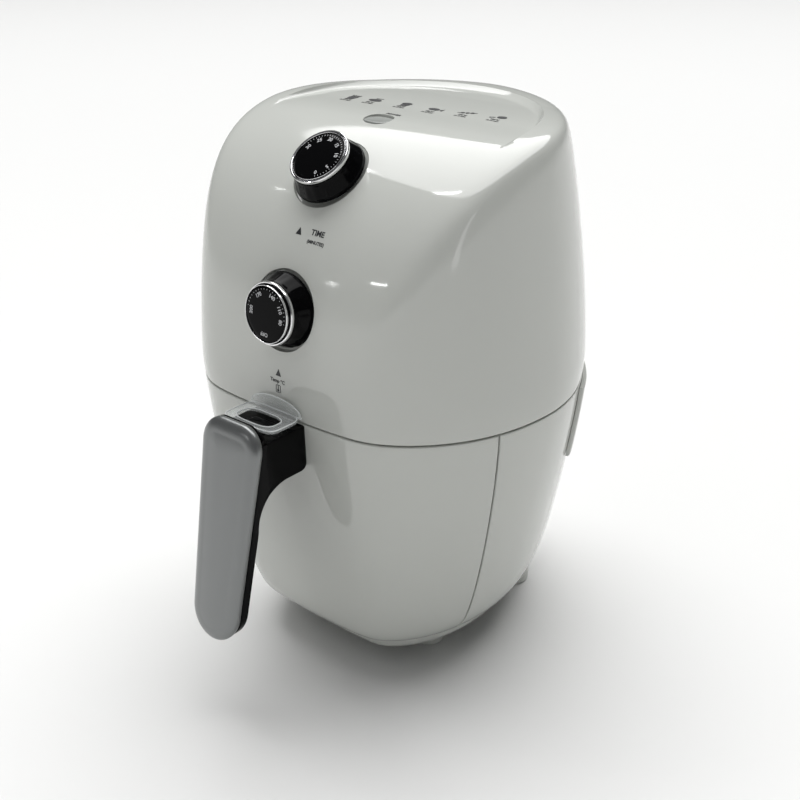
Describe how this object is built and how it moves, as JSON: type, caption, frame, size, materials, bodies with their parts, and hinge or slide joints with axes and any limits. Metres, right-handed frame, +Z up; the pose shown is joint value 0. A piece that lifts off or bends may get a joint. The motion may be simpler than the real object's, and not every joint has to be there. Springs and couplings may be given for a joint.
{
  "type": "air fryer",
  "caption": "Compact countertop hot-air fryer with a pull-out basket drawer, timer and temperature knobs, and a release button under a clear guard.",
  "frame": {"origin": "on the surface that the feet stand on, below the middle of the fryer's bounding box", "axes": "+Z up; the drawer pulls out along -Y; +X is the fryer's own left side, seen from behind the drawer, and the right side as seen by someone facing the knobs"},
  "size_m": [0.211, 0.2642, 0.2951],
  "materials": {
    "white_plastic": "gloss",
    "black_plastic": "gloss",
    "silver_paint": "satin metallic",
    "chrome": "bright",
    "steel_sheet": "mill",
    "non_stick_coating": "matt non-stick",
    "dark_metal": "satin",
    "clear_plastic": "clear",
    "amber_lamp": "clear",
    "foot_rubber": "matt"
  },
  "bodies": {
    "housing": {"upper_housing": "white_plastic", "lower_housing": "white_plastic", "rear_air_outlet": "white_plastic", "base_plate": "white_plastic", "mains_inlet_collar": "black_plastic", "foot_front_right": "foot_rubber", "foot_front_left": "foot_rubber", "foot_rear_right": "foot_rubber", "foot_rear_left": "foot_rubber", "timer_movement": "steel_sheet", "timer_bell": "steel_sheet", "thermostat": "dark_metal", "indicator_lens": "clear_plastic", "indicator_lamp": "amber_lamp", "chamber_wall": "steel_sheet", "heater_deck": "steel_sheet", "heating_element": "dark_metal", "reflector_dome": "steel_sheet", "motor_plate": "steel_sheet", "fan_motor": "dark_metal", "drawer_switch": "dark_metal", "thermal_cutout": "dark_metal"},
    "drawer": {"drawer_front": "white_plastic", "pan": "non_stick_coating", "basket": "non_stick_coating", "pan_mount_right": "black_plastic", "pan_mount_left": "black_plastic", "basket_bracket": "steel_sheet", "handle_body": "black_plastic", "handle_cover": "silver_paint", "button_spring": "steel_sheet"},
    "button": {"release_button": "black_plastic"},
    "guard": {"button_guard": "clear_plastic"},
    "timer_knob": {"timer_knob_body": "black_plastic", "timer_knob_ring": "chrome", "timer_knob_face": "black_plastic", "timer_shaft": "chrome"},
    "temperature_knob": {"temperature_knob_body": "black_plastic", "temperature_knob_ring": "chrome", "temperature_knob_face": "black_plastic", "temperature_shaft": "chrome"},
    "fan_rotor": {"motor_shaft": "steel_sheet", "convection_fan": "steel_sheet", "cooling_fan": "dark_metal"}
  },
  "joints": [
    {"name": "drawer_slide", "type": "slide", "parent": "housing", "child": "drawer", "axis": [0, -1, 0], "range_m": [0, 0.18]},
    {"name": "timer_turn", "type": "hinge", "parent": "housing", "child": "timer_knob", "pos_m": [0, -0.03332, 0.27159], "axis": [0, -0.6388, 0.7694], "range_deg": [-300, 0]},
    {"name": "temperature_turn", "type": "hinge", "parent": "housing", "child": "temperature_knob", "pos_m": [0, -0.06967, 0.20939], "axis": [0, -0.9942, 0.108], "range_deg": [-270, 0]},
    {"name": "fan_spin", "type": "hinge", "parent": "housing", "child": "fan_rotor", "pos_m": [0, 0.01801, 0.18], "axis": [0, 0, 1], "continuous": true},
    {"name": "button_press", "type": "slide", "parent": "drawer", "child": "button", "axis": [0, 0, -1], "range_m": [0, 0.0035], "stiffness_N_per_m": 400, "springref_m": -0.003, "deforming": ["button_spring"]},
    {"name": "guard_flip", "type": "hinge", "parent": "drawer", "child": "guard", "pos_m": [0, -0.09915, 0.1566], "axis": [1, 0, 0], "range_deg": [0, 80]}
  ]
}
